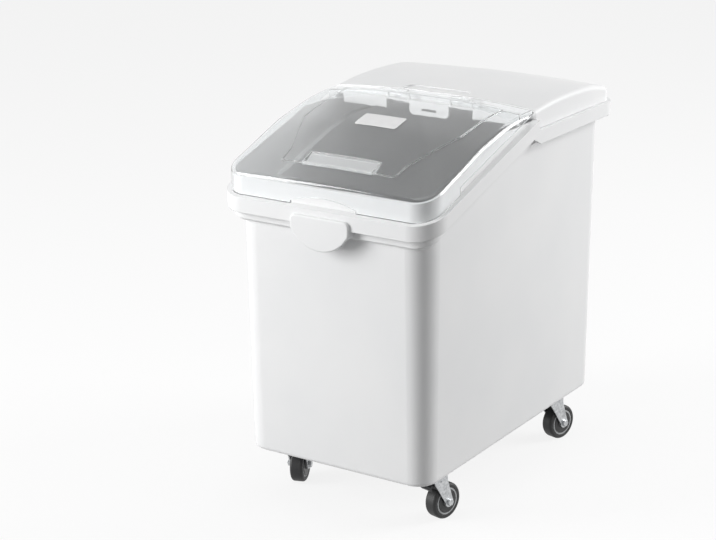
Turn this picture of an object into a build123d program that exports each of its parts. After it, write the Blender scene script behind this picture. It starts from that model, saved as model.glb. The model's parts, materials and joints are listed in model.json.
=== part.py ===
from build123d import *
from math import cos, radians, sin
import os

os.makedirs("parts", exist_ok=True)

# Frame: millimetres, +Z up, front of the bin at -Y, origin on the floor under the middle of the object.

# ---------------------------------------------------------------- driving sizes
rim_half = 195.0            # half width over the rim band, the widest part of the bin
rim_front = -300.5
rim_rear = 305.5
rim_corner = 44.0
rim_slope = 0.305           # rise per mm of the sloping front half of the rim

tub_z = 90.0                # underside of the tub above the floor
tub_wall = 4.0
tub_floor = 4.0
tub_half = 168.8            # half width at the underside
tub_front = -274.0
tub_rear = 280.0
tub_corner = 33.0
tub_draft = 0.8             # degrees

low_front = 470.3           # heights at the rim's front plane: flare starts,
mid_front = 491.5           # band's lower edge,
ledge_front = 515.5         # ledge that the lids rest on,
top_front = 543.5           # top of the raised wall inside the lids
low_rear = 572.0            # the same heights on the level rear half
mid_rear = 575.0
ledge_rear = 598.0
top_rear = 611.0
knee_y = 24.0               # where the sloping ledge steps down to the level one
knee_start = 8.0            # the band's lower edge eases down between these
knee_end = 30.0

band_skin = 3.5             # thickness of the rim's turned-down skirt and ledge
raise_inset = 11.0          # raised wall's outer face inside the band's outer face
skirt_gap = 1.2             # between the raised wall and the lids' skirts
rest_gap = 0.3              # between a lid's lower edge and the ledge
skirt_wall = 3.0

axle_z = 30.0               # also the wheels' radius
wheel_width = 22.0
fork_trail = 20.0           # kingpin axis to axle axis
kingpin_x = 132.0
kingpin_front = -190.0
kingpin_rear = 199.0

hinge_y = 13.5
hinge_z = 631.8
hinge_bar_r = 1.9
run_gap = 0.06              # running clearance, on the radius
window_in = 37.0            # hinge windows of the rear lid's flange, |x| from and to
window_out = 81.0

reach = rim_half + 35.0     # beyond any half width, for profiles that are cut to shape
sky = 720.0


def slope_z(z_front, y):
    return z_front + rim_slope * (y - rim_front)


def slope_y(z_front, z):
    return rim_front + (z - z_front) / rim_slope


def side_prism(points, half, mode=Mode.ADD):
    """A side profile, given as (y, z), pushed through the bin's width from -half to +half."""
    with BuildSketch(Plane.YZ.offset(-half)) as profile:
        with BuildLine():
            Polyline(*points, close=True)
        make_face()
    extrude(profile.sketch, amount=2 * half, mode=mode)


def plan_face(z, half, front, rear, radius):
    with BuildSketch(Plane.XY.offset(z)) as outline:
        with Locations((0, (front + rear) / 2)):
            RectangleRounded(2 * half, rear - front, radius)
    return outline.sketch


def plan_prism(inset, z0, z1, mode=Mode.ADD):
    """The rim band's plan outline, moved inwards by inset."""
    outline = plan_face(z0, rim_half - inset, rim_front + inset, rim_rear - inset, rim_corner - inset)
    extrude(outline, amount=z1 - z0, mode=mode)


def save(piece, name):
    piece.label = name
    export_step(piece, f"parts/{name}.step")


# ---------------------------------------------------------------- rim profiles, (y, z)
far_front = rim_front - 40
far_rear = rim_rear + 40


def rim_line(z_front, z_rear):
    """A line of the rim from front to rear: up the slope, then level."""
    return [(far_front, slope_z(z_front, far_front)), (slope_y(z_front, z_rear), z_rear), (far_rear, z_rear)]


def between(lower, upper):
    return lower + upper[::-1]


low_line = rim_line(low_front, low_rear)
top_line = rim_line(top_front, top_rear)
sky_line = [(far_front, sky), (far_rear, sky)]
ground_line = [(far_front, tub_z - 10), (far_rear, tub_z - 10)]


def band_line(z_front, z_rear, drop=0.0):
    """As rim_line, but with the step down at the knee."""
    return [
        (far_front, slope_z(z_front, far_front) - drop),
        (knee_y, slope_z(z_front, knee_y) - drop),
        (knee_y + 2, z_rear - drop),
        (far_rear, z_rear - drop),
    ]


mid_line = [
    (far_front, slope_z(mid_front, far_front)),
    (knee_start, slope_z(mid_front, knee_start)),
    (knee_end, mid_rear),
    (far_rear, mid_rear),
]
ledge_line = band_line(ledge_front, ledge_rear)
ledge_under = band_line(ledge_front, ledge_rear, band_skin)

# ---------------------------------------------------------------- tub
# The flared upper wall, with a soft lower edge
flare_soft = 6.0


def on_low_line(edge):
    middle = edge.center()
    return middle.Z < min(slope_z(low_front, middle.Y), low_rear) + 1.0


with BuildPart() as flare:
    side_prism(between(low_line, top_line), reach)
    plan_prism(raise_inset, tub_z, sky, Mode.INTERSECT)
    chamfer(flare.edges().filter_by(on_low_line), flare_soft)

with BuildPart() as flare_inside:
    side_prism(between([(y, z + tub_wall) for y, z in low_line], sky_line), reach)
    plan_prism(raise_inset + tub_wall, tub_z, sky, Mode.INTERSECT)

# The rim band: an outward ledge with a turned-down skirt, open underneath, tied by gussets
gusset_thick = 2.4
gusset_rise = 4.0
gusset_side_ys = [-220, -150, -80, -10, 70, 140, 210]
gusset_end_xs = [-110, 110]


with BuildPart() as band_channel:
    side_prism(between(ground_line, ledge_under), reach)
    plan_prism(band_skin, tub_z, sky, Mode.INTERSECT)
    plan_prism(raise_inset, tub_z, sky, Mode.SUBTRACT)

with BuildPart() as gussets:
    with BuildSketch(Plane.XY.offset(mid_front - 20)):
        for y in gusset_side_ys:
            with Locations((0, y)):
                Rectangle(2 * rim_half, gusset_thick)
        for x in gusset_end_xs:
            with Locations((x, (rim_front + rim_rear) / 2)):
                Rectangle(gusset_thick, rim_rear - rim_front)
    extrude(amount=sky - mid_front)
    side_prism(between([(y, z + gusset_rise) for y, z in mid_line], ledge_line), reach, Mode.INTERSECT)
    plan_prism(band_skin / 2, tub_z, sky, Mode.INTERSECT)
    plan_prism(raise_inset + 1.0, tub_z, sky, Mode.SUBTRACT)

with BuildPart() as band:
    side_prism(between(mid_line, ledge_line), reach)
    plan_prism(0.0, tub_z, sky, Mode.INTERSECT)
    plan_prism(raise_inset + 1.0, tub_z, sky, Mode.SUBTRACT)
    add(band_channel.part, mode=Mode.SUBTRACT)
    add(gussets.part)

# Grip tongue on the front of the rim: a hollow half-round shield, open below
tongue_half = 53.0
tongue_top = 506.0
tongue_straight = 22.0
tongue_high = 53.0
tongue_face = rim_front - 5.0
tongue_wall = 3.5
tongue_corner = 9.0
tongue_soft = 2.5


def tongue_sketch(inset, y, drop):
    half = tongue_half - inset
    top = tongue_top - inset
    shoulder = tongue_top - tongue_straight - drop
    with BuildSketch(Plane.XZ.offset(-y)) as shield:
        with BuildLine():
            Polyline((-half, shoulder), (-half, top), (half, top), (half, shoulder))
            ThreePointArc((half, shoulder), (0, tongue_top - tongue_high + inset - drop), (-half, shoulder))
        make_face()
    return shield.sketch


with BuildPart() as tongue:
    extrude(tongue_sketch(0.0, tongue_face, 0.0), amount=-(tub_front - 4.0 - tongue_face))
    fillet(tongue.edges().filter_by(Axis.Y).group_by(Axis.Z)[-1], tongue_corner)
    fillet(tongue.faces().sort_by(Axis.Y)[0].edges(), tongue_soft)
    extrude(tongue_sketch(tongue_wall, tongue_face + tongue_wall, tongue_high), amount=-(tub_front - tongue_face),
            mode=Mode.SUBTRACT)

pad_size = 60.0             # pads inside, over the casters, that hold the screws
pad_high = 7.0
screw_r = 2.5
screw_pitch = 40.0
screw_up = 9.0              # screw length above the tub's underside
bottom_soft = 7.0
plinth_high = 1.0           # flat field between the casters, on which the bare tub stands
plinth_half = 92.0
plinth_in = 22.0
plinth_corner = 16.0
kingpins = {
    "front_left": (-kingpin_x, kingpin_front),
    "front_right": (kingpin_x, kingpin_front),
    "rear_left": (-kingpin_x, kingpin_rear),
    "rear_right": (kingpin_x, kingpin_rear),
}

with BuildPart() as tub:
    extrude(plan_face(tub_z, tub_half, tub_front, tub_rear, tub_corner), amount=sky - tub_z, taper=-tub_draft)
    fillet(tub.faces().sort_by(Axis.Z)[0].edges(), bottom_soft)
    side_prism(between([(y, z + 2 * tub_wall) for y, z in low_line], sky_line), reach, Mode.SUBTRACT)
    add(flare.part)
    add(tongue.part)
    cavity = plan_face(tub_z + tub_floor, tub_half - tub_wall, tub_front + tub_wall, tub_rear - tub_wall,
                       tub_corner - tub_wall)
    extrude(cavity, amount=sky - tub_z, taper=-tub_draft, mode=Mode.SUBTRACT)
    add(flare_inside.part, mode=Mode.SUBTRACT)
    add(band.part)
    extrude(plan_face(tub_z, plinth_half, tub_front + plinth_in, tub_rear - plinth_in, plinth_corner),
            amount=-plinth_high)
    with BuildSketch(Plane.XY.offset(tub_z + tub_floor / 2)):
        with Locations(*kingpins.values()):
            RectangleRounded(pad_size, pad_size, 6)
    extrude(amount=tub_floor / 2 + pad_high)
    with BuildSketch(Plane.XY.offset(tub_z)):
        with Locations(*kingpins.values()):
            with GridLocations(screw_pitch, screw_pitch, 2, 2):
                Circle(screw_r)
    extrude(amount=screw_up + 0.5, mode=Mode.SUBTRACT)

save(tub.part, "tub")

# ---------------------------------------------------------------- lids: crowned tops
lid_inset = 6.8             # lids' outer face inside the band's outer face
lid_half = rim_half - lid_inset
lid_z0 = 480.0              # below every lid edge, for profiles that are cut to shape
skirt_end = 9.8             # the clear lid's side skirts end here; its top plate goes on as the tail
crown_over = 1.04           # the crowned blocks' half width over the lids'
crown_soft = 8.0            # rounding of the clear lid's top edge
rear_soft = 8.0

# Side and centre profiles of the two tops: (y, height at the side, height on the centre line)
clear_top = [
    (-310, 550.0, 551.0),
    (-294, 553.5, 556.0),
    (-272, 560.0, 566.0),
    (-254, 566.0, 573.7),
    (-232, 573.5, 582.7),
    (-203, 584.0, 594.0),
    (-174, 594.5, 605.0),
    (-146, 604.0, 614.9),
    (-108, 613.0, 624.0),
    (-68, 621.5, 632.0),
    (-34, 626.0, 636.0),
    (0, 628.5, 638.5),
    (21, 628.5, 638.5),
]
white_top = [
    (16, 628.6, 637.8),
    (86, 635.5, 641.6),
    (173, 636.0, 641.3),
    (230, 631.5, 635.5),
    (262, 624.5, 629.5),
    (310, 612.5, 618.5),
]


def crowned(points, shift, mode=Mode.ADD):
    """A block under a top surface that is crowned across the bin, moved up by shift."""
    sections = []
    for share in (-crown_over, 0, crown_over):
        with BuildSketch(Plane.YZ.offset(share * lid_half)) as section:
            with BuildLine():
                top = [(y, middle - (middle - edge) * share ** 2 + shift) for y, edge, middle in points]
                Spline(*top)
                Polyline(top[-1], (top[-1][0], lid_z0), (top[0][0], lid_z0), top[0])
            make_face()
        sections.append(section.sketch)
    loft(sections=sections, mode=mode)


def soften_top(builder, end_y, radius):
    """Rounds the crowned top's edges, except the one in the block's cut-off end plane."""
    rim = builder.faces().sort_by(Axis.Z)[-1].edges()
    fillet(rim.filter_by(lambda edge: abs(edge.center().Y - end_y) > 1.0), radius)


# ---------------------------------------------------------------- clear front lid
hook_in = 42.0              # |x| from and to of the hooks on the rear lid's bars
hook_out = 76.0
hook_wall = 2.7
hook_mouth = 110.0          # degrees
hook_turn = -80.0           # the mouth's direction, from +Y towards +Z
sweep_r = 9.3               # room kept round the hinge for the clear lid's tail
tail_y = hinge_y + 6.0
wall_y = -11.2              # rear face of the end wall
end_wall = 2.8
end_half = lid_half - 10.2
foot_mid = 632.5            # the end wall's arched lower edge
foot_drop = 22.0
foot_power = 2.6
step_y = -206.0             # where the side skirts step up, off the ledge
step_up = 13.0
raised = 2.0                # raised panel above the crowned top
pull_half = 65.0            # finger pull: a pocket under the panel's front
pull_rear = -228.0
pull_low = -246.0
pull_front = -258.0
pull_deep = 10.0            # its underside below the panel's top
pull_soft = 6.0

panel_half = [(-6, 150), (-69, 147), (-108, 146), (-133, 145), (-190, 122), (-225, 108), (-256, 104)]
panel_soft = 9.0


def panel_prism(inset):
    with BuildSketch(Plane.XY.offset(lid_z0)) as panel:
        with BuildLine():
            Polyline(*[(x, y) for y, x in panel_half], *[(-x, y) for y, x in reversed(panel_half)], close=True)
        make_face()
        fillet(panel.vertices(), panel_soft)
        offset(amount=-inset)
    extrude(panel.sketch, amount=sky - lid_z0, mode=Mode.INTERSECT)


def clear_block(inset, sink):
    """The clear lid's plan, filled up to its top surface less sink."""
    crowned(clear_top, -sink)
    plan_prism(lid_inset + inset, lid_z0, sky, Mode.INTERSECT)


def clear_height(y, column=2):
    """Height of the clear lid's top at y, between the profile's points."""
    for (y0, *z0), (y1, *z1) in zip(clear_top, clear_top[1:]):
        if y0 <= y <= y1:
            return z0[column - 1] + (z1[column - 1] - z0[column - 1]) * (y - y0) / (y1 - y0)


with BuildPart() as clear_outside:
    clear_block(0.0, 0.0)
    soften_top(clear_outside, clear_top[-1][0], crown_soft)

with BuildPart() as clear_inside:
    clear_block(skirt_wall, skirt_wall)
    soften_top(clear_inside, clear_top[-1][0], crown_soft - skirt_wall)

with BuildPart() as panel_outside:
    crowned(clear_top, raised)
    panel_prism(0.0)

with BuildPart() as panel_inside:
    crowned(clear_top, raised - skirt_wall)
    panel_prism(skirt_wall)

# Under the skirts: on the ledge at the front, stepped up along the sides
skirt_line = [
    (far_front, slope_z(ledge_front, far_front) + rest_gap),
    (step_y, slope_z(ledge_front, step_y) + rest_gap),
    (step_y, slope_z(ledge_front, step_y) + step_up),
    (far_rear, slope_z(ledge_front, far_rear) + step_up),
]
arch_half = 59.0
arch_step = 5.0
arch_rise = 15.0

tail_z = clear_top[-1][1] - 5.0     # the side skirts end here behind the end wall
foot_shares = [-1.0, -0.75, -0.5, -0.25, 0.0, 0.25, 0.5, 0.75, 1.0]
window_mid = (window_in + window_out) / 2
hook_r = hinge_bar_r + run_gap + hook_wall

with BuildPart() as end_wall_part:
    crowned(clear_top, -skirt_wall / 2)
    with BuildSketch(Plane.XZ.offset(-wall_y)) as wall_outline:
        with BuildLine():
            foot = [(share * end_half, foot_mid - foot_drop * abs(share) ** foot_power) for share in foot_shares]
            Spline(*foot)
            Polyline(foot[-1], (end_half, sky), (-end_half, sky), foot[0])
        make_face()
    extrude(wall_outline.sketch, amount=end_wall, mode=Mode.INTERSECT)

# Hooks that snap on the rear lid's hinge bars, open at the mouth
with BuildPart() as hooks:
    for side in (-1, 1):
        with BuildSketch(Plane.YZ.offset(side * window_mid - (hook_out - hook_in) / 2)) as ring:
            with Locations((hinge_y, hinge_z)):
                Circle(hook_r)
                Circle(hinge_bar_r + run_gap, mode=Mode.SUBTRACT)
                with BuildLine():
                    mouth_ends = [
                        (3 * hook_r * cos(radians(turn)), 3 * hook_r * sin(radians(turn)))
                        for turn in (hook_turn - hook_mouth / 2, hook_turn, hook_turn + hook_mouth / 2)
                    ]
                    Polyline((0, 0), *mouth_ends, close=True)
                make_face(mode=Mode.SUBTRACT)
        extrude(ring.sketch, amount=hook_out - hook_in)



def pull_wedge(inset, lift):
    """The finger pull's pocket: steep at the rear, easing out to the front; lift raises its open side."""
    with BuildSketch(Plane.YZ.offset(-pull_half + inset)) as wedge:
        with BuildLine():
            Polyline((pull_rear - inset, clear_height(pull_rear) + raised + lift),
                     (pull_rear - inset, clear_height(pull_rear) - skirt_wall),
                     (pull_low, clear_height(pull_low) + raised - pull_deep + inset),
                     (pull_front + inset, clear_height(pull_front) + raised - 1.0 + inset),
                     (pull_front + inset, clear_height(pull_front) + raised + lift), close=True)
        make_face()
    extrude(wedge.sketch, amount=2 * (pull_half - inset))


with BuildPart() as pull_shell:
    pull_wedge(0.0, 40.0)
    crowned(clear_top, raised, Mode.INTERSECT)

with BuildPart() as pull_pocket:
    pull_wedge(skirt_wall, 40.0)

with BuildPart() as front_lid:
    add(clear_outside.part)
    add(panel_outside.part)
    add(clear_inside.part, mode=Mode.SUBTRACT)
    add(panel_inside.part, mode=Mode.SUBTRACT)
    add(pull_shell.part)
    add(pull_pocket.part, mode=Mode.SUBTRACT)
    side_prism(between(ground_line, skirt_line), reach, Mode.SUBTRACT)
    # arched cut-out over the grip tongue
    front_edge = slope_z(ledge_front, rim_front + lid_inset) + rest_gap
    with BuildSketch(Plane.XZ.offset(-(rim_front + lid_inset - 1.0))) as arch:
        with BuildLine():
            Polyline((arch_half, front_edge + arch_step), (arch_half, front_edge - 2.0),
                     (-arch_half, front_edge - 2.0), (-arch_half, front_edge + arch_step))
            ThreePointArc((-arch_half, front_edge + arch_step), (0, front_edge + arch_rise),
                          (arch_half, front_edge + arch_step))
        make_face()
    extrude(arch.sketch, amount=-(skirt_wall + 2.0), mode=Mode.SUBTRACT)
    # behind the skirts only the top plate goes on, as far as the tail's rear edge
    with Locations((0, (skirt_end + far_rear) / 2, (lid_z0 + tail_z) / 2)):
        Box(2 * reach, far_rear - skirt_end, tail_z - lid_z0, mode=Mode.SUBTRACT)
    with Locations((0, (tail_y + far_rear) / 2, (lid_z0 + sky) / 2)):
        Box(2 * reach, far_rear - tail_y, sky - lid_z0, mode=Mode.SUBTRACT)
    add(end_wall_part.part)
    with Locations(Location((0, hinge_y, hinge_z), (0, 90, 0))):
        with Locations((0, 0, -window_mid), (0, 0, window_mid)):
            Cylinder(hinge_bar_r + 0.4, window_out - window_in + 1.0, mode=Mode.SUBTRACT)
    add(hooks.part)

save(front_lid.part, "front_lid")

# ---------------------------------------------------------------- label plate on the clear lid
label_long = 75.0
label_wide = 35.0
label_thick = 0.8
label_y = -132.5
label_gap = 0.05

with BuildPart() as label_plate:
    crowned(clear_top, raised + label_gap + label_thick)
    with BuildSketch(Plane.XY.offset(lid_z0)) as label_outline:
        with Locations((0, label_y)):
            RectangleRounded(label_long, label_wide, 3.0)
    extrude(label_outline.sketch, amount=sky - lid_z0, mode=Mode.INTERSECT)
    crowned(clear_top, raised + label_gap, Mode.SUBTRACT)

save(label_plate.part, "label_plate")

# ---------------------------------------------------------------- white rear lid
white_front = hinge_y + sweep_r + 0.5
skirt_front = knee_y + 2.6          # the skirts hang below the shelf behind the rim's step
over_step = slope_z(ledge_front, knee_y) + rest_gap
shelf_z = hinge_z - sweep_r - 5.0
shelf_thick = 3.0
shelf_half = lid_half - 11.2
flange_front = hinge_y - 3.2
flange_half = lid_half - 23.2
flange_z = 604.0
tab_half = 37.0
tab_z = 598.0
tab_corner = 8.0
slot_long = 27.0
slot_high = 4.0
slot_z = 608.0
window_high = shelf_z - flange_z + 1.0      # notches, open at the flange's lower edge
lug_wide = 4.0
lug_over = 1.5
relief_half = 60.0
relief_rear = 48.0
relief_deep = 2.0
relief_soft = 12.0

with BuildPart() as white_outside:
    crowned(white_top, 0.0)
    plan_prism(lid_inset, lid_z0, sky, Mode.INTERSECT)
    soften_top(white_outside, white_top[0][0], rear_soft)

with BuildPart() as white_inside:
    crowned(white_top, -skirt_wall)
    plan_prism(lid_inset + skirt_wall, lid_z0, sky, Mode.INTERSECT)
    soften_top(white_inside, white_top[0][0], rear_soft - skirt_wall)
    with Locations((0, (white_front + skirt_wall + far_rear) / 2, (lid_z0 + sky) / 2)):
        Box(2 * reach, far_rear - white_front - skirt_wall, sky - lid_z0, mode=Mode.INTERSECT)


def relief_prism(grow, rear_grow):
    """The finger relief's outline, grown sideways and to the rear."""
    half = relief_half + grow
    front = white_front - relief_soft
    with BuildSketch(Plane.XY.offset(lid_z0)) as outline:
        with Locations((0, (front + relief_rear + rear_grow) / 2)):
            RectangleRounded(2 * half, relief_rear + rear_grow - front, relief_soft - 0.5)
    extrude(outline.sketch, amount=sky - lid_z0, mode=Mode.INTERSECT)


with BuildPart() as relief_floor:
    crowned(white_top, -relief_deep)
    relief_prism(skirt_wall, skirt_wall)
    crowned(white_top, -relief_deep - skirt_wall, Mode.SUBTRACT)

with BuildPart() as relief_space:
    with Locations((0, relief_rear / 2, (lid_z0 + sky) / 2)):
        Box(2 * reach, relief_rear + 60, sky - lid_z0)
    relief_prism(0.0, 0.0)
    crowned(white_top, -relief_deep, Mode.SUBTRACT)

white_line = [
    (far_front, over_step),
    (skirt_front, over_step),
    (skirt_front, ledge_rear + rest_gap),
    (far_rear, ledge_rear + rest_gap),
]

with BuildPart() as rear_lid:
    add(white_outside.part)
    add(white_inside.part, mode=Mode.SUBTRACT)
    add(relief_floor.part)
    add(relief_space.part, mode=Mode.SUBTRACT)
    side_prism(between(ground_line, white_line), reach, Mode.SUBTRACT)
    with Locations((0, (far_front + white_front) / 2, (lid_z0 + sky) / 2)):
        Box(2 * reach, white_front - far_front, sky - lid_z0, mode=Mode.SUBTRACT)
    # shelf, flange and slotted tab under the hinge
    side_prism([(flange_front, shelf_z), (white_front + skirt_wall, shelf_z),
                (white_front + skirt_wall, shelf_z + shelf_thick), (flange_front, shelf_z + shelf_thick)],
               shelf_half)
    with BuildSketch(Plane.XZ.offset(-flange_front)) as flange:
        with Locations((0, (flange_z + shelf_z + shelf_thick) / 2)):
            Rectangle(2 * flange_half, shelf_z + shelf_thick - flange_z)
        with Locations((0, (tab_z + shelf_z) / 2)):
            RectangleRounded(2 * tab_half, shelf_z - tab_z, tab_corner)
        with Locations((0, slot_z)):
            Rectangle(slot_long, slot_high, mode=Mode.SUBTRACT)
        with Locations((-window_mid, shelf_z - window_high / 2), (window_mid, shelf_z - window_high / 2)):
            Rectangle(window_out - window_in, window_high, mode=Mode.SUBTRACT)
    extrude(flange.sketch, amount=-skirt_wall)
    # lugs and the hinge bars between them
    lug_top = hinge_z + lug_over
    with Locations(*[(x, flange_front + skirt_wall / 2, (shelf_z + lug_top) / 2)
                     for side in (-1, 1) for x in (side * (window_in + lug_wide / 2), side * (window_out - lug_wide / 2))]):
        Box(lug_wide, skirt_wall, lug_top - shelf_z)
    with Locations(Location((0, hinge_y, hinge_z), (0, 90, 0))):
        with Locations((0, 0, -window_mid), (0, 0, window_mid)):
            Cylinder(hinge_bar_r, window_out - window_in)

save(rear_lid.part, "rear_lid")

# ---------------------------------------------------------------- scoop, loose on the tub's floor
scoop_wall = 2.0
scoop_long = 160.0
scoop_half = 47.0
scoop_high = 76.0
scoop_round = 40.0
scoop_soft = 10.0
scoop_tip = -130.0
scoop_rear = scoop_tip + scoop_long
scoop_z = tub_z + tub_floor + rest_gap
lip_rise = 44.0             # side wall's height, this far behind the tip
lip_back = 20.0
lip_soft = 18.0
brim_rise = 69.0
handle_long = 110.0
handle_half = 15.0
handle_wall = 2.5
handle_deep = 18.0
handle_tilt = 10.0
handle_from = scoop_rear - 6.0
handle_z = scoop_z + 70.0
rest_high = 14.0
scoop_lip = 4.0
hook_drop = 8.0


def bowl_block(inset, front):
    """The bowl's plan with a rounded back, from the tip or beyond it."""
    with BuildSketch(Plane.XY.offset(scoop_z + inset)) as outline:
        with Locations((0, (front + scoop_rear - inset) / 2)):
            Rectangle(2 * (scoop_half - inset), scoop_rear - inset - front)
        fillet(outline.vertices().group_by(Axis.Y)[-1], scoop_round - inset)
    extrude(outline.sketch, amount=scoop_high)


with BuildPart() as bowl_inside:
    bowl_block(scoop_wall, scoop_tip - 30.0)
    fillet(bowl_inside.faces().sort_by(Axis.Z)[0].edges().filter_by(
        lambda edge: edge.center().Y > scoop_tip - 20.0), scoop_soft - scoop_wall)

handle_plane = Plane(origin=(0, handle_from, handle_z), x_dir=(1, 0, 0),
                     z_dir=(0, cos(radians(handle_tilt)), sin(radians(handle_tilt))))

with BuildPart() as scoop:
    bowl_block(0.0, scoop_tip)
    fillet(scoop.faces().sort_by(Axis.Z)[0].edges().filter_by(
        lambda edge: edge.center().Y > scoop_tip + 1.0), scoop_soft)
    # side walls slope down to the mouth
    with BuildSketch(Plane.YZ.offset(-scoop_half - 1.0)) as brim:
        with BuildLine():
            Polyline((scoop_tip - 1.0, scoop_z + scoop_lip), (scoop_tip + lip_back, scoop_z + lip_rise),
                     (scoop_rear - scoop_round, scoop_z + brim_rise), (scoop_rear + 1.0, scoop_z + scoop_high),
                     (scoop_rear + 1.0, scoop_z + 2 * scoop_high), (scoop_tip - 1.0, scoop_z + 2 * scoop_high),
                     close=True)
        make_face()
        fillet(brim.vertices().group_by(Axis.Y)[1], lip_soft)
    extrude(brim.sketch, amount=2 * scoop_half + 2.0, mode=Mode.SUBTRACT)
    # handle: an inverted channel that runs out of the back, with a hanging hook at its end
    with BuildSketch(handle_plane) as channel:
        RectangleRounded(2 * handle_half, handle_deep, 4.0)
    extrude(channel.sketch, amount=handle_long)
    with BuildSketch(handle_plane.offset(-1.0)) as hollow:
        with Locations((0, handle_wall)):
            Rectangle(2 * (handle_half - handle_wall), handle_deep)
    extrude(hollow.sketch, amount=handle_long + 1.0 - handle_wall, mode=Mode.SUBTRACT)
    with BuildSketch(handle_plane.offset(handle_long - handle_wall)) as hook:
        with Locations((0, hook_drop / 2)):
            Rectangle(handle_half, handle_deep + hook_drop - 2.0)
    extrude(hook.sketch, amount=handle_wall)
    # thumb rest across the root of the handle
    with BuildSketch(handle_plane.offset(scoop_rear - handle_from + 4.0)) as thumb:
        with Locations((0, -(handle_deep + rest_high) / 2 + 1.0)):
            RectangleRounded(2 * handle_half - 4.0, rest_high + 2.0, 4.0)
    extrude(thumb.sketch, amount=handle_wall)
    add(bowl_inside.part, mode=Mode.SUBTRACT)

save(scoop.part, "scoop")

# ---------------------------------------------------------------- casters
# One of each piece is modelled with its kingpin on the Z axis and its wheel trailing to +Y.
# Play between pieces that are fastened to each other
seat_gap = 0.02
plate_half = 28.0
plate_thick = 2.5
plate_hole_r = screw_r + 0.3
plate_z = tub_z - plate_thick
kingpin_r = 4.0
kingpin_head_r = 6.0
kingpin_head = 1.2
rivet_r = 7.0
rivet_high = 2.5
crown_z = 79.0
crown_thick = 2.5
crown_r = 20.0
race_r = 19.5
race_lip = 2.0
race_gap = 0.5
fork_half = 13.2            # inside the fork legs
fork_leg = 2.2
fork_boss = 8.5
fork_front = -13.0
fork_back = 16.0
fork_low = 70.0
axle_r = 3.0
bush_r = 4.2
hex_flats = 10.0
head_high = 4.0
nut_high = 5.0
thread_over = 1.5
hub_r = 8.5
hub_half = 12.7
web_half = 2.6
core_in = 17.0
core_r = 22.0
core_half = 10.5
guard_in = 9.0
guard_r = 19.0
guard_thick = 1.2
guard_play = 0.15
tyre_soft = 4.5
tyre_bead = 0.8
pedal_y = 2.0
pedal_z = 70.0
pedal_pin_r = 2.0
pedal_half = 10.0
shoe_gap = 1.5              # brake shoe to tyre, with the pedal up



def across(half, y, z, radius, mode=Mode.ADD):
    """A cylinder across the caster, parallel to its axle."""
    with Locations(Location((0, y, z), (0, 90, 0))):
        Cylinder(radius, 2 * half, mode=mode)


with BuildPart() as caster_plate:
    with BuildSketch(Plane.XY.offset(plate_z)) as plate_outline:
        RectangleRounded(2 * plate_half, 2 * plate_half, 5.0)
        with GridLocations(screw_pitch, screw_pitch, 2, 2):
            Circle(plate_hole_r, mode=Mode.SUBTRACT)
        Circle(kingpin_r + seat_gap, mode=Mode.SUBTRACT)
    extrude(plate_outline.sketch, amount=plate_thick - seat_gap)
    with BuildSketch(Plane.XY.offset(tub_z - kingpin_head - 2 * seat_gap)) as recess:
        Circle(kingpin_head_r + seat_gap)
    extrude(recess.sketch, amount=kingpin_head + 1.0, mode=Mode.SUBTRACT)

with BuildPart() as kingpin:
    with BuildSketch(Plane.XZ) as turned:
        with BuildLine():
            rivet_top = crown_z - run_gap
            Polyline((0, rivet_top - rivet_high), (rivet_r, rivet_top - rivet_high), (rivet_r, rivet_top),
                     (kingpin_r, rivet_top), (kingpin_r, tub_z - kingpin_head - seat_gap),
                     (kingpin_head_r, tub_z - kingpin_head - seat_gap), (kingpin_head_r, tub_z - seat_gap),
                     (0, tub_z - seat_gap), close=True)
        make_face()
    revolve(turned.sketch, axis=Axis.Z)
    chamfer(kingpin.edges().filter_by(GeomType.CIRCLE).sort_by(Axis.Z)[0], 1.0)

with BuildPart() as swivel_race:
    with BuildSketch(Plane.XZ) as cup:
        with BuildLine():
            race_low = crown_z + crown_thick + race_gap
            race_top = plate_z - seat_gap
            Polyline((kingpin_r + seat_gap, race_top), (race_r, race_top), (race_r, race_low),
                     (race_r - race_lip, race_low), (race_r - race_lip - 1.5, race_top - race_lip),
                     (kingpin_r + 3.0, race_top - race_lip), (kingpin_r + 3.0, race_low),
                     (kingpin_r + seat_gap, race_low), close=True)
        make_face()
    revolve(cup.sketch, axis=Axis.Z)

with BuildPart() as fork:
    with BuildSketch(Plane.YZ.offset(-fork_half - fork_leg)) as leg:
        with BuildLine():
            Polyline((fork_front, crown_z + crown_thick), (fork_front, fork_low), (fork_trail - fork_boss, axle_z),
                     (fork_trail + fork_boss, axle_z), (fork_back, fork_low), (fork_back, crown_z + crown_thick),
                     close=True)
        make_face()
        fillet(leg.vertices().group_by(Axis.Y)[1], 6.0)
        with Locations((fork_trail, axle_z)):
            Circle(fork_boss)
    extrude(leg.sketch, amount=2 * (fork_half + fork_leg))
    fillet(fork.edges().filter_by(Axis.Y).group_by(Axis.Z)[-1], fork_leg + 0.8)
    with BuildSketch(Plane.YZ.offset(-fork_half)) as between_legs:
        with Locations((0, crown_z / 2)):
            Rectangle(4 * crown_r, crown_z)
        fillet(between_legs.vertices().group_by(Axis.Y)[-1], 1.0)
    extrude(between_legs.sketch, amount=2 * fork_half, mode=Mode.SUBTRACT)
    with BuildSketch(Plane.XY.offset(crown_z)) as crown:
        Circle(crown_r)
    extrude(crown.sketch, amount=crown_thick)
    with BuildSketch(Plane.XY.offset(fork_low)) as pin_hole:
        Circle(kingpin_r + run_gap)
    extrude(pin_hole.sketch, amount=tub_z - fork_low, mode=Mode.SUBTRACT)
    across(fork_half + 2 * fork_leg, fork_trail, axle_z, axle_r + seat_gap, Mode.SUBTRACT)

with BuildPart() as braked_fork:
    add(fork.part)
    across(fork_half + 2 * fork_leg, pedal_y, pedal_z, pedal_pin_r + seat_gap, Mode.SUBTRACT)

fork_side = fork_half + fork_leg
hex_r = hex_flats / 2 / cos(radians(30))

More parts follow.
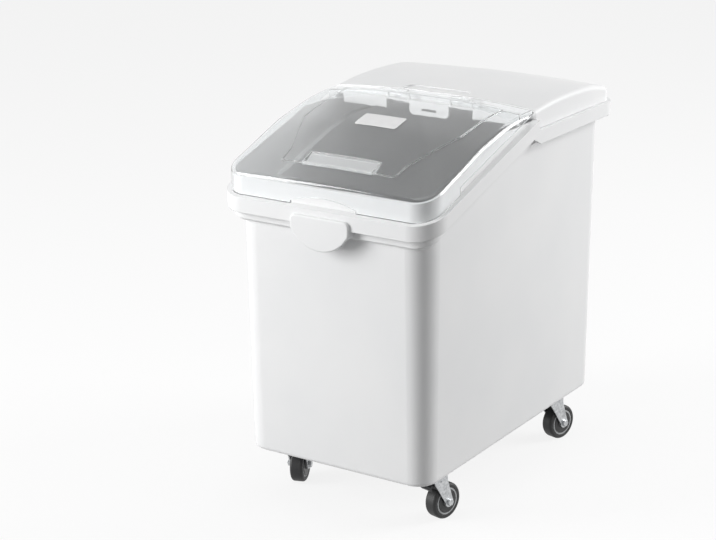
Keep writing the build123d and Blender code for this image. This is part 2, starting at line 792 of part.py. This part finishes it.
with BuildPart() as axle_bolt:
    with BuildSketch(Plane.YZ.offset(fork_side + seat_gap)) as head:
        with Locations((fork_trail, axle_z)):
            RegularPolygon(hex_r, 6)
    extrude(head.sketch, amount=head_high)
    with BuildSketch(Plane.YZ.offset(-fork_side - nut_high - thread_over)) as shank:
        with Locations((fork_trail, axle_z)):
            Circle(axle_r)
    extrude(shank.sketch, amount=2 * fork_side + nut_high + thread_over + 2 * seat_gap)

with BuildPart() as axle_nut:
    with BuildSketch(Plane.YZ.offset(-fork_side - seat_gap)) as flats:
        with Locations((fork_trail, axle_z)):
            RegularPolygon(hex_r, 6)
            Circle(axle_r + seat_gap, mode=Mode.SUBTRACT)
    extrude(flats.sketch, amount=-nut_high)

with BuildPart() as axle_bush:
    across(fork_half - seat_gap, fork_trail, axle_z, bush_r)
    across(fork_half, fork_trail, axle_z, axle_r + seat_gap, Mode.SUBTRACT)


def wheel_turn(half_profile):
    """Revolves a closed (half width, radius) profile, given for +X and mirrored to -X, about the axle."""
    whole = half_profile + [(-w, r) for w, r in reversed(half_profile)]
    with BuildSketch(Plane.XY.offset(axle_z)) as section:
        with BuildLine():
            Polyline(*[(w, fork_trail + r) for w, r in whole], close=True)
        make_face()
    revolve(section.sketch, axis=Axis((0, fork_trail, axle_z), (1, 0, 0)))


guard_out = core_half + 0.7
guard_seat = guard_out - guard_thick - guard_play

with BuildPart() as wheel_core:
    wheel_turn([(hub_half, bush_r + run_gap), (hub_half, hub_r), (web_half, hub_r), (web_half, core_in),
                (guard_seat, core_in), (guard_seat, guard_r + guard_play), (core_half, guard_r + guard_play),
                (core_half, core_r)])

with BuildPart() as tyre:
    wheel_turn([(wheel_width / 2 - tyre_bead, core_r + seat_gap), (wheel_width / 2, core_r + tyre_bead),
                (wheel_width / 2, axle_z)])
    fillet(tyre.edges().filter_by(GeomType.CIRCLE).sort_by(lambda edge: edge.radius)[-2:], tyre_soft)

with BuildPart() as thread_guards:
    for side in (-1, 1):
        with BuildSketch(Plane.YZ.offset(side * (guard_seat + guard_play))) as guard:
            with Locations((fork_trail, axle_z)):
                Circle(guard_r)
                Circle(guard_in, mode=Mode.SUBTRACT)
        extrude(guard.sketch, amount=side * guard_thick)

# Brake pedal: a bent plate on its pin, a tread to the front and a shoe over the tyre
pedal_thick = 2.6
pedal_hub = 4.6
tread_y = -18.0
tread_z = 62.0
curl_y = -15.0
curl_z = 57.0
shoe_y = -0.25
shoe_reach = axle_z + shoe_gap
shoe_z = axle_z + (shoe_reach ** 2 - (fork_trail - shoe_y) ** 2) ** 0.5

with BuildPart() as brake_pedal:
    with BuildSketch(Plane.YZ.offset(-pedal_half)) as bent:
        with Locations((pedal_y, pedal_z)):
            Circle(pedal_hub)
        with BuildLine():
            Polyline((pedal_y, pedal_z + pedal_hub), (tread_y, tread_z + pedal_thick),
                     (tread_y - pedal_thick, tread_z - 1.0), (curl_y - pedal_thick / 2, curl_z),
                     (curl_y + pedal_thick / 2, curl_z), (tread_y + pedal_thick, tread_z - 1.0),
                     (pedal_y, pedal_z + pedal_hub - 2 * pedal_thick), close=True)
        make_face()
        with BuildLine():
            Polyline((pedal_y - pedal_hub, pedal_z), (shoe_y - pedal_thick, shoe_z + 2.0), (shoe_y, shoe_z),
                     (shoe_y + pedal_thick, shoe_z + pedal_thick), (pedal_y + pedal_hub, pedal_z), close=True)
        make_face()
    extrude(bent.sketch, amount=2 * pedal_half)
    across(fork_half, pedal_y, pedal_z, pedal_pin_r + run_gap, Mode.SUBTRACT)

with BuildPart() as pedal_pin:
    across(fork_side + 0.8, pedal_y, pedal_z, pedal_pin_r)

caster_turns = {"front_left": 20.0, "front_right": -12.4, "rear_left": 8.0, "rear_right": -14.8}
plain_pieces = {
    "caster_plate": caster_plate, "kingpin": kingpin, "swivel_race": swivel_race, "axle_bolt": axle_bolt,
    "axle_nut": axle_nut, "axle_bush": axle_bush, "wheel_core": wheel_core, "tyre": tyre,
    "thread_guards": thread_guards,
}
for corner, (x, y) in kingpins.items():
    placed = dict(plain_pieces)
    if corner.startswith("front"):
        placed.update(fork=braked_fork, brake_pedal=brake_pedal, pedal_pin=pedal_pin)
    else:
        placed.update(fork=fork)
    fixed = ("caster_plate", "kingpin", "swivel_race")
    for name, piece in placed.items():
        turn = 0.0 if name in fixed else caster_turns[corner]
        save(Location((x, y, 0), (0, 0, turn)) * piece.part, f"{corner}_{name}")

# Screws that hold the caster plates under the tub
screw_head_r = 4.5
screw_head = 2.5
screw_play = 0.03

with BuildPart() as caster_screws:
    with Locations(*kingpins.values()):
        with GridLocations(screw_pitch, screw_pitch, 2, 2):
            with Locations((0, 0, plate_z - seat_gap - screw_head / 2)):
                Cylinder(screw_head_r, screw_head)
            with Locations((0, 0, (plate_z - seat_gap + tub_z + screw_up) / 2)):
                Cylinder(screw_r - screw_play, tub_z + screw_up - plate_z + seat_gap)

save(caster_screws.part, "caster_screws")
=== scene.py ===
import json
import math

import bpy
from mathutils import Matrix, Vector

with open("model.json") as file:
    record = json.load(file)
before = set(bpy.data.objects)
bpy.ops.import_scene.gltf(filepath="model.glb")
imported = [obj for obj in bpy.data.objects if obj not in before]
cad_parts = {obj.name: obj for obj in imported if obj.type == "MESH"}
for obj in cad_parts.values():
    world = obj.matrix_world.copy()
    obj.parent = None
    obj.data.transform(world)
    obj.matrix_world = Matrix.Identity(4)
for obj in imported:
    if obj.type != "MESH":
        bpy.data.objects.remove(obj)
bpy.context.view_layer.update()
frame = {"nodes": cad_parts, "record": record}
nodes = frame["nodes"]


def stand(name, data, aim, azimuth, elevation, distance):
    """Stands a camera or a lamp off the aim point, looking at it, so many degrees round and up."""
    az, el = math.radians(azimuth), math.radians(elevation)
    thing = bpy.data.objects.new(name, data)
    thing.location = aim + distance * Vector((
        math.sin(az) * math.cos(el), -math.cos(az) * math.cos(el), math.sin(el)))
    thing.rotation_euler = (aim - thing.location).to_track_quat("-Z", "Y").to_euler()
    bpy.context.scene.collection.objects.link(thing)
    return thing


# ---------------------------------------------------------------- camera, fitted to the photograph
CAMERA_AIM = Vector((0.0, 0.0085, 0.350))
CAMERA_AZIMUTH, CAMERA_ELEVATION = 31.62, 17.42     # degrees
CAMERA_DISTANCE = 3.147
FOCAL_PX = 1908.0
WIDTH_PX, HEIGHT_PX = 716.0, 540.0
CENTRE_PX = (428.5, 264.5)      # where the aim point lies in the picture
SENSOR_MM = 36.0
FAR_CLIP = 60.0                 # past the floor's edge

camera_data = bpy.data.cameras.new("camera")
camera = stand("camera", camera_data, CAMERA_AIM, CAMERA_AZIMUTH, CAMERA_ELEVATION, CAMERA_DISTANCE)
camera_data.sensor_fit = "HORIZONTAL"
camera_data.sensor_width = SENSOR_MM
camera_data.lens = FOCAL_PX / WIDTH_PX * SENSOR_MM
camera_data.shift_x = (WIDTH_PX / 2 - CENTRE_PX[0]) / WIDTH_PX
camera_data.shift_y = (CENTRE_PX[1] - HEIGHT_PX / 2) / WIDTH_PX
camera_data.clip_end = FAR_CLIP
bpy.context.scene.camera = camera
bpy.context.scene.view_settings.view_transform = "Standard"

# ---------------------------------------------------------------- material helpers
TINT_RANGE = (0.35, 0.65)       # the part of a noise's range over which a colour turns from dark to light
BEVEL_SAMPLES = 6
EDGE_SAMPLES = 8


def new_material(name):
    material = bpy.data.materials.new(name)
    material.use_nodes = True
    tree = material.node_tree
    return material, tree, tree.nodes["Principled BSDF"]


def add(tree, kind, **settings):
    """Adds a node. A setting is one of its properties, or else a socket's value, with _ for a space."""
    node = tree.nodes.new(kind)
    for key, value in settings.items():
        if hasattr(node, key):
            setattr(node, key, value)
        else:
            node.inputs[key.replace("_", " ")].default_value = value
    return node


def calc(tree, operation, *values):
    """The result of a maths node. Each value is a socket or a number."""
    node = add(tree, "ShaderNodeMath", operation=operation)
    for socket, value in zip(node.inputs, values):
        if isinstance(value, bpy.types.NodeSocket):
            tree.links.new(value, socket)
        else:
            socket.default_value = value
    return node.outputs[0]


def noise(tree, scale, detail):
    """Noise in the piece's own metres, so its grain has a real size."""
    place = add(tree, "ShaderNodeTexCoord")
    texture = add(tree, "ShaderNodeTexNoise", Scale=scale, Detail=detail)
    tree.links.new(place.outputs["Object"], texture.inputs["Vector"])
    return texture.outputs["Fac"]


def ramp(tree, source, low, high):
    """Maps a 0..1 value to low..high."""
    node = add(tree, "ShaderNodeMapRange", To_Min=low, To_Max=high)
    tree.links.new(source, node.inputs["Value"])
    return node.outputs["Result"]


def tint(tree, source, dark, light):
    """Turns a 0..1 value into a colour between dark and light."""
    node = add(tree, "ShaderNodeValToRGB")
    for stop, position, colour in zip(node.color_ramp.elements, TINT_RANGE, (dark, light)):
        stop.position = position
        stop.color = (*colour, 1.0)
    tree.links.new(source, node.inputs["Fac"])
    return node.outputs["Color"]


def soft_edges(tree, radius, height, strength, depth):
    """A normal that rounds the edges to a radius, with a fine bump on top."""
    bevel = add(tree, "ShaderNodeBevel", samples=BEVEL_SAMPLES, Radius=radius)
    bump = add(tree, "ShaderNodeBump", Strength=strength, Distance=depth)
    tree.links.new(height, bump.inputs["Height"])
    tree.links.new(bevel.outputs["Normal"], bump.inputs["Normal"])
    return bump.outputs["Normal"]


def edge_mask(tree, radius, start, full):
    """0 on flats and 1 along sharp edges. start and full are the cosines of the rounded normal's turn."""
    bevel = add(tree, "ShaderNodeBevel", samples=EDGE_SAMPLES, Radius=radius)
    flat = add(tree, "ShaderNodeNewGeometry")
    turn = add(tree, "ShaderNodeVectorMath", operation="DOT_PRODUCT")
    tree.links.new(bevel.outputs["Normal"], turn.inputs[0])
    tree.links.new(flat.outputs["Normal"], turn.inputs[1])
    mask = add(tree, "ShaderNodeMapRange", From_Min=start, From_Max=full)
    tree.links.new(turn.outputs["Value"], mask.inputs["Value"])
    return mask.outputs["Result"]


def inside(tree, half, low_y, high_y):
    """1 inside a strip of the piece's plan, with sharp sides."""
    place = add(tree, "ShaderNodeTexCoord")
    split = add(tree, "ShaderNodeSeparateXYZ")
    tree.links.new(place.outputs["Object"], split.inputs[0])
    near_x = calc(tree, "COMPARE", split.outputs["X"], 0.0, half)
    near_y = calc(tree, "COMPARE", split.outputs["Y"], (low_y + high_y) / 2, (high_y - low_y) / 2)
    return calc(tree, "MULTIPLY", near_x, near_y)


# ---------------------------------------------------------------- materials
# A grain is a noise's scale per metre and its detail. A bump is its strength and its depth in metres.
# An edge is the radius, in metres, to which it is rounded.
CLEAR_COLOUR = (0.925, 0.94, 0.945)
CLEAR_ROUGHNESS = (0.015, 0.045)
PAINTED_HIGHLIGHT_EDGE = 0.0014             # painted highlight: the clear plastic is whitened this near to a sharp edge, in place of the light the edges catch
PAINTED_HIGHLIGHT_TURN = (0.995, 0.80)      # cosines of the edge's turn where that starts and where it is full
PAINTED_HIGHLIGHT_CLEAR = 0.25              # how much light still passes where it is full
PULL_FROST_AND_REFLECTION_HALF = 0.0635             # the finger pull's faces, whitened for a frosted finish and a painted reflection, reach this far either side of the middle
PULL_FROST_AND_PAINTED_REFLECTION = (                  # y from, y to and strength of each of them
    (-0.2450, -0.2290, 0.42),
    (-0.2565, -0.2475, 0.62),
)


def coat(name, colours, colour_grain, roughness, rough_grain, edge, bump_grain, bump, **sockets):
    """An opaque finish, with edges rounded to a radius."""
    material, tree, shader = new_material(name)
    links = tree.links
    links.new(tint(tree, noise(tree, *colour_grain), *colours), shader.inputs["Base Color"])
    links.new(ramp(tree, noise(tree, *rough_grain), *roughness), shader.inputs["Roughness"])
    links.new(soft_edges(tree, edge, noise(tree, *bump_grain), *bump), shader.inputs["Normal"])
    for socket, value in sockets.items():
        shader.inputs[socket.replace("_", " ")].default_value = value
    return material


def small_plastic(name, dark, light, roughness):
    """Injection-moulded plastic of the small parts."""
    return coat(name, (dark, light), (70.0, 3.0), roughness, (260.0, 3.0),
                0.0004, (1200.0, 2.0), (0.06, 0.0002))


def clear_plastic():
    """Moulded polycarbonate: clear, with a trace of flow marks, painted highlights along its sharp edges,
    and a finger pull whitened for a frosted finish and a painted reflection.
    """
    material, tree, shader = new_material("clear_plastic")
    links = tree.links
    shader.inputs["Base Color"].default_value = (*CLEAR_COLOUR, 1.0)
    shader.inputs["IOR"].default_value = 1.46
    links.new(ramp(tree, noise(tree, 60.0, 3.0), *CLEAR_ROUGHNESS), shader.inputs["Roughness"])
    # painted highlight: less light passes along sharp edges, so the whitish base colour shows there as the
    # edges' highlights
    painted_highlight_and_frost = edge_mask(tree, PAINTED_HIGHLIGHT_EDGE, *PAINTED_HIGHLIGHT_TURN)
    # the finger pull's faces are whitened too, partly for a frosted finish and partly as a painted
    # reflection, each face by its own amount
    for low_y, high_y, amount in PULL_FROST_AND_PAINTED_REFLECTION:
        patch = calc(tree, "MULTIPLY", inside(tree, PULL_FROST_AND_REFLECTION_HALF, low_y, high_y), amount)
        painted_highlight_and_frost = calc(tree, "MAXIMUM", painted_highlight_and_frost, patch)
    links.new(ramp(tree, painted_highlight_and_frost, 1.0, PAINTED_HIGHLIGHT_CLEAR), shader.inputs["Transmission Weight"])
    links.new(soft_edges(tree, 0.0008, noise(tree, 9.0, 2.0), 0.04, 0.001), shader.inputs["Normal"])
    return material


looks = {
    # polyethylene of the tub and the rear lid: satin, with faint orange peel and duller patches
    "white_plastic": coat(
        "white_plastic", ((0.835, 0.84, 0.845), (0.862, 0.864, 0.866)), (6.0, 2.0),
        (0.34, 0.46), (90.0, 4.0), 0.0012, (420.0, 3.0), (0.05, 0.0004),
        IOR=1.5, Specular_IOR_Level=0.45),
    "clear_plastic": clear_plastic(),
    "label_white": small_plastic("label_white", (0.80, 0.80, 0.80), (0.84, 0.84, 0.84), (0.30, 0.42)),
    "tyre_rubber": coat(
        "tyre_rubber", ((0.008, 0.008, 0.0085), (0.016, 0.016, 0.017)), (45.0, 4.0),
        (0.42, 0.60), (900.0, 4.0), 0.0006, (900.0, 4.0), (0.12, 0.0002)),
    "grey_plastic": small_plastic("grey_plastic", (0.46, 0.47, 0.48), (0.54, 0.55, 0.56), (0.38, 0.50)),
    "black_plastic": small_plastic(
        "black_plastic", (0.014, 0.014, 0.015), (0.028, 0.028, 0.03), (0.34, 0.46)),
    # zinc-plated pressings: a fine spangle and duller patches
    "zinc_steel": coat(
        "zinc_steel", ((0.40, 0.41, 0.42), (0.60, 0.61, 0.62)), (240.0, 5.0),
        (0.24, 0.42), (130.0, 4.0), 0.0005, (1500.0, 2.0), (0.06, 0.0002),
        Metallic=1.0),
}
slot_of = {entry["node"]: entry["material_slot"] for entry in frame["record"]["subparts"]}
for name, node in nodes.items():
    node.data.materials.clear()
    node.data.materials.append(looks[slot_of[name]])

# Light passes straight through the clear lid, so that the bin is bright inside
nodes["front_lid"].visible_shadow = False
nodes["front_lid"].visible_diffuse = False

# ---------------------------------------------------------------- floor and backdrop
FLOOR_HALF = 30.0
FLOOR_DROP = 0.0002         # keeps the floor just clear of the tyres
FLOOR_SEEN = 0.9            # the floor's colour where it is seen
FLOOR_BOUNCE = 0.32         # the floor's colour for the light that it throws back on the object
FLOOR_LIFT = 0.84           # share of plain white in the floor that is seen; the rest keeps the shadow
AMBIENT = 0.31              # the world's light on the object; where it is seen, it is white


def seen_directly(tree):
    """1 for rays that show the backdrop: from the camera, in a reflection or through glass."""
    path = add(tree, "ShaderNodeLightPath")
    total = path.outputs["Is Camera Ray"]
    for ray in ("Is Glossy Ray", "Is Transmission Ray"):
        total = calc(tree, "MAXIMUM", total, path.outputs[ray])
    return total


floor_mesh = bpy.data.meshes.new("floor")
corners = [(x * FLOOR_HALF, y * FLOOR_HALF, 0) for x, y in ((-1, -1), (1, -1), (1, 1), (-1, 1))]
floor_mesh.from_pydata(corners, [], [(0, 1, 2, 3)])
floor = bpy.data.objects.new("floor", floor_mesh)
bpy.context.scene.collection.objects.link(floor)
floor.location.z = -FLOOR_DROP

material, tree, shader = new_material("floor")
shader.inputs["Roughness"].default_value = 0.9
shader.inputs["Specular IOR Level"].default_value = 0.1
seen = seen_directly(tree)
tree.links.new(ramp(tree, seen, FLOOR_BOUNCE, FLOOR_SEEN), shader.inputs["Base Color"])
glow = add(tree, "ShaderNodeEmission", Color=(1.0, 1.0, 1.0, 1.0))
blend = add(tree, "ShaderNodeMixShader")
tree.links.new(calc(tree, "MULTIPLY", seen, FLOOR_LIFT), blend.inputs["Fac"])
tree.links.new(shader.outputs[0], blend.inputs[1])
tree.links.new(glow.outputs[0], blend.inputs[2])
tree.links.new(blend.outputs[0], tree.nodes["Material Output"].inputs["Surface"])
floor_mesh.materials.append(material)

world = bpy.data.worlds.new("studio")
world.use_nodes = True
bpy.context.scene.world = world
sky = world.node_tree.nodes["Background"]
sky.inputs["Color"].default_value = (1.0, 1.0, 1.0, 1.0)
level = ramp(world.node_tree, seen_directly(world.node_tree), AMBIENT, 1.0)
world.node_tree.links.new(level, sky.inputs["Strength"])

# ---------------------------------------------------------------- lamps
LAMP_AIM = Vector((0.0, 0.0, 0.35))
SOFTBOXES = (               # name, degrees round, degrees up, metres off, size in metres, watts
    ("left_box", -44.0, 14.0, 3.2, (1.4, 2.2), 92.0),
    ("right_box", 133.0, 20.0, 3.2, (1.4, 2.2), 76.0),
    ("top_box", 20.0, 84.0, 3.0, (2.4, 2.4), 16.0),
)
for name, azimuth, elevation, distance, size, power in SOFTBOXES:
    data = bpy.data.lights.new(name, "AREA")
    data.shape = "RECTANGLE"
    data.size, data.size_y = size
    data.energy = power
    stand(name, data, LAMP_AIM, azimuth, elevation, distance)
